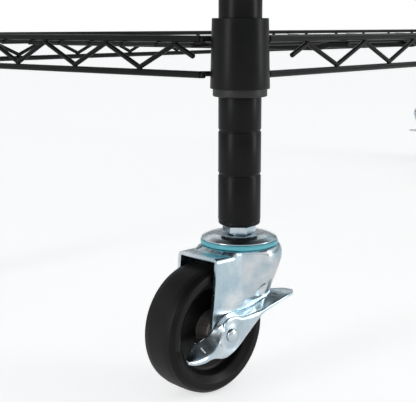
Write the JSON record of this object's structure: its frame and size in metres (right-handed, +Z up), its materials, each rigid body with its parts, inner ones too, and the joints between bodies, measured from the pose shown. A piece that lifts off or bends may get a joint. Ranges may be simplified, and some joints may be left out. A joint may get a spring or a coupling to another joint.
{
  "type": "wire shelf cart",
  "caption": "Wheeled cart of open wire shelves clamped by split sleeves to grooved round posts, on swivel casters with brake levers.",
  "frame": {"origin": "on the floor, under the middle of the cart", "axes": "+X along the long side, +Y across the short side towards the back, +Z up"},
  "size_m": [1.0112, 0.3654, 0.8323],
  "materials": {
    "black_powder_coat": "satin powder coat with a fine orange peel",
    "black_plastic": "moulded, lightly worn",
    "zinc_plate": "bright bluish zinc plating on pressed steel",
    "socket_steel": "plain turned steel",
    "teal_plastic": "smooth moulded",
    "hard_rubber": "smooth hard rubber with moulded rings"
  },
  "bodies": {
    "root": {"post_front_left": "black_powder_coat", "post_cap_front_left": "black_plastic", "stem_socket_front_left": "socket_steel", "post_front_right": "black_powder_coat", "post_cap_front_right": "black_plastic", "stem_socket_front_right": "socket_steel", "post_back_left": "black_powder_coat", "post_cap_back_left": "black_plastic", "stem_socket_back_left": "socket_steel", "post_back_right": "black_powder_coat", "post_cap_back_right": "black_plastic", "stem_socket_back_right": "socket_steel", "shelf_frame_bottom": "black_powder_coat", "shelf_deck_bottom": "black_powder_coat", "sleeve_bottom_front_left": "black_plastic", "sleeve_bottom_front_right": "black_plastic", "sleeve_bottom_back_left": "black_plastic", "sleeve_bottom_back_right": "black_plastic", "shelf_frame_middle": "black_powder_coat", "shelf_deck_middle": "black_powder_coat", "sleeve_middle_front_left": "black_plastic", "sleeve_middle_front_right": "black_plastic", "sleeve_middle_back_left": "black_plastic", "sleeve_middle_back_right": "black_plastic", "shelf_frame_top": "black_powder_coat", "shelf_deck_top": "black_powder_coat", "sleeve_top_front_left": "black_plastic", "sleeve_top_front_right": "black_plastic", "sleeve_top_back_left": "black_plastic", "sleeve_top_back_right": "black_plastic", "caster_stem_front_left": "zinc_plate", "caster_raceway_front_left": "zinc_plate", "caster_stem_front_right": "zinc_plate", "caster_raceway_front_right": "zinc_plate", "caster_stem_back_left": "zinc_plate", "caster_raceway_back_left": "zinc_plate", "caster_stem_back_right": "zinc_plate", "caster_raceway_back_right": "zinc_plate"},
    "caster_front_left": {"caster_seal_front_left": "teal_plastic", "caster_fork_front_left": "zinc_plate", "caster_axle_front_left": "zinc_plate"},
    "wheel_front_left": {"caster_wheel_front_left": "hard_rubber"},
    "brake_front_left": {"brake_lever_front_left": "zinc_plate"},
    "caster_front_right": {"caster_seal_front_right": "teal_plastic", "caster_fork_front_right": "zinc_plate", "caster_axle_front_right": "zinc_plate"},
    "wheel_front_right": {"caster_wheel_front_right": "hard_rubber"},
    "caster_back_left": {"caster_seal_back_left": "teal_plastic", "caster_fork_back_left": "zinc_plate", "caster_axle_back_left": "zinc_plate"},
    "wheel_back_left": {"caster_wheel_back_left": "hard_rubber"},
    "caster_back_right": {"caster_seal_back_right": "teal_plastic", "caster_fork_back_right": "zinc_plate", "caster_axle_back_right": "zinc_plate"},
    "wheel_back_right": {"caster_wheel_back_right": "hard_rubber"},
    "brake_back_right": {"brake_lever_back_right": "zinc_plate"}
  },
  "joints": [
    {"name": "swivel_front_left", "type": "hinge", "parent": "root", "child": "caster_front_left", "pos_m": [-0.4395, -0.1575, 0.08], "axis": [0, 0, 1], "continuous": true},
    {"name": "roll_front_left", "type": "hinge", "parent": "caster_front_left", "child": "wheel_front_left", "pos_m": [-0.46783, -0.15442, 0.0372], "axis": [-0.108, -0.9942, 0], "continuous": true},
    {"name": "brake_rock_front_left", "type": "hinge", "parent": "caster_front_left", "child": "brake_front_left", "pos_m": [-0.46783, -0.15442, 0.0372], "axis": [-0.108, -0.9942, 0], "range_deg": [-26, 0]},
    {"name": "swivel_front_right", "type": "hinge", "parent": "root", "child": "caster_front_right", "pos_m": [0.4395, -0.1575, 0.08], "axis": [0, 0, 1], "continuous": true},
    {"name": "roll_front_right", "type": "hinge", "parent": "caster_front_right", "child": "wheel_front_right", "pos_m": [0.46783, -0.16058, 0.0372], "axis": [0.108, 0.9942, 0], "continuous": true},
    {"name": "swivel_back_left", "type": "hinge", "parent": "root", "child": "caster_back_left", "pos_m": [-0.4395, 0.1575, 0.08], "axis": [0, 0, 1], "continuous": true},
    {"name": "roll_back_left", "type": "hinge", "parent": "caster_back_left", "child": "wheel_back_left", "pos_m": [-0.46783, 0.16058, 0.0372], "axis": [-0.108, -0.9942, 0], "continuous": true},
    {"name": "swivel_back_right", "type": "hinge", "parent": "root", "child": "caster_back_right", "pos_m": [0.4395, 0.1575, 0.08], "axis": [0, 0, 1], "continuous": true},
    {"name": "roll_back_right", "type": "hinge", "parent": "caster_back_right", "child": "wheel_back_right", "pos_m": [0.46783, 0.15442, 0.0372], "axis": [0.108, 0.9942, 0], "continuous": true},
    {"name": "brake_rock_back_right", "type": "hinge", "parent": "caster_back_right", "child": "brake_back_right", "pos_m": [0.46783, 0.15442, 0.0372], "axis": [0.108, 0.9942, 0], "range_deg": [-26, 0]}
  ]
}
